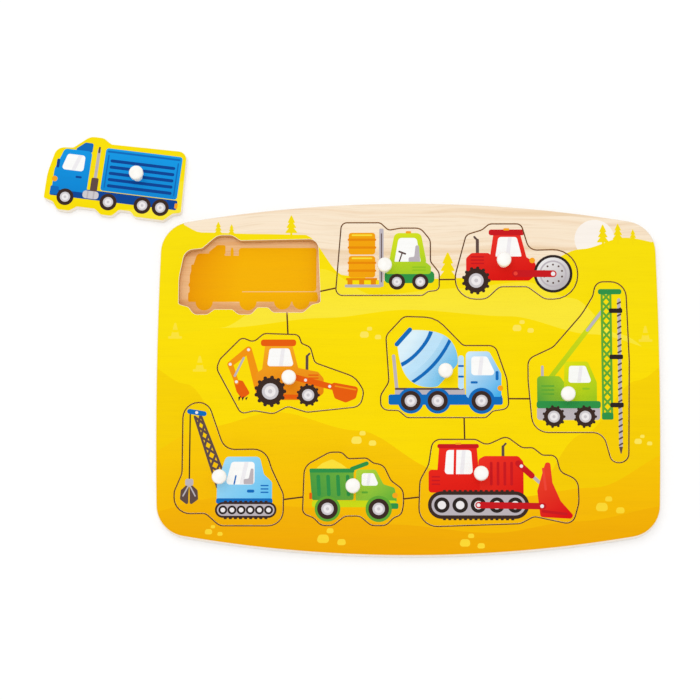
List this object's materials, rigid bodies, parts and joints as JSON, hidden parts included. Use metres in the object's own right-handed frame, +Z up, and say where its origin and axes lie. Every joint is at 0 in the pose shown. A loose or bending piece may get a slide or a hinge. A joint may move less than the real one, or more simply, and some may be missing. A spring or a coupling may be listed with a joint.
{
  "type": "peg puzzle",
  "caption": "Barrel-shaped wooden board with printed vehicle pieces that lift out of matching pockets by round pegs.",
  "frame": {"origin": "middle of the board's underside, on the surface that it lies on", "axes": "+X along the board's length, +Y to its far edge, +Z up through the pegs"},
  "size_m": [0.3703, 0.2554, 0.02],
  "materials": {
    "backing_wood": "bare plywood with a printed silhouette in each pocket",
    "sheet_print": "ink printed on pale plywood, satin varnish",
    "blue_print": "ink printed on pale plywood, satin varnish",
    "lime_print": "ink printed on pale plywood, satin varnish",
    "red_print": "ink printed on pale plywood, satin varnish",
    "green_print": "ink printed on pale plywood, satin varnish",
    "orange_print": "ink printed on pale plywood, satin varnish",
    "sky_print": "ink printed on pale plywood, satin varnish",
    "peg_paint": "smooth white paint, satin"
  },
  "bodies": {
    "board": {"backing_board": "backing_wood", "puzzle_frame": "sheet_print"},
    "container_truck_piece": {"container_truck": "blue_print", "container_truck_peg": "peg_paint"},
    "forklift_piece": {"forklift": "lime_print", "forklift_peg": "peg_paint"},
    "road_roller_piece": {"road_roller": "red_print", "road_roller_peg": "peg_paint"},
    "drill_rig_piece": {"drill_rig": "green_print", "drill_rig_peg": "peg_paint"},
    "backhoe_loader_piece": {"backhoe_loader": "orange_print", "backhoe_loader_peg": "peg_paint"},
    "mixer_truck_piece": {"mixer_truck": "sky_print", "mixer_truck_peg": "peg_paint"},
    "crawler_crane_piece": {"crawler_crane": "sky_print", "crawler_crane_peg": "peg_paint"},
    "dump_truck_piece": {"dump_truck": "green_print", "dump_truck_peg": "peg_paint"},
    "bulldozer_piece": {"bulldozer": "red_print", "bulldozer_peg": "peg_paint"}
  },
  "joints": [
    {"name": "container_truck_lift", "type": "slide", "parent": "board", "child": "container_truck_piece", "axis": [0, 0, 1], "range_m": [0, 0.04]},
    {"name": "forklift_lift", "type": "slide", "parent": "board", "child": "forklift_piece", "axis": [0, 0, 1], "range_m": [0, 0.04]},
    {"name": "road_roller_lift", "type": "slide", "parent": "board", "child": "road_roller_piece", "axis": [0, 0, 1], "range_m": [0, 0.04]},
    {"name": "drill_rig_lift", "type": "slide", "parent": "board", "child": "drill_rig_piece", "axis": [0, 0, 1], "range_m": [0, 0.04]},
    {"name": "backhoe_loader_lift", "type": "slide", "parent": "board", "child": "backhoe_loader_piece", "axis": [0, 0, 1], "range_m": [0, 0.04]},
    {"name": "mixer_truck_lift", "type": "slide", "parent": "board", "child": "mixer_truck_piece", "axis": [0, 0, 1], "range_m": [0, 0.04]},
    {"name": "crawler_crane_lift", "type": "slide", "parent": "board", "child": "crawler_crane_piece", "axis": [0, 0, 1], "range_m": [0, 0.04]},
    {"name": "dump_truck_lift", "type": "slide", "parent": "board", "child": "dump_truck_piece", "axis": [0, 0, 1], "range_m": [0, 0.04]},
    {"name": "bulldozer_lift", "type": "slide", "parent": "board", "child": "bulldozer_piece", "axis": [0, 0, 1], "range_m": [0, 0.04]}
  ]
}
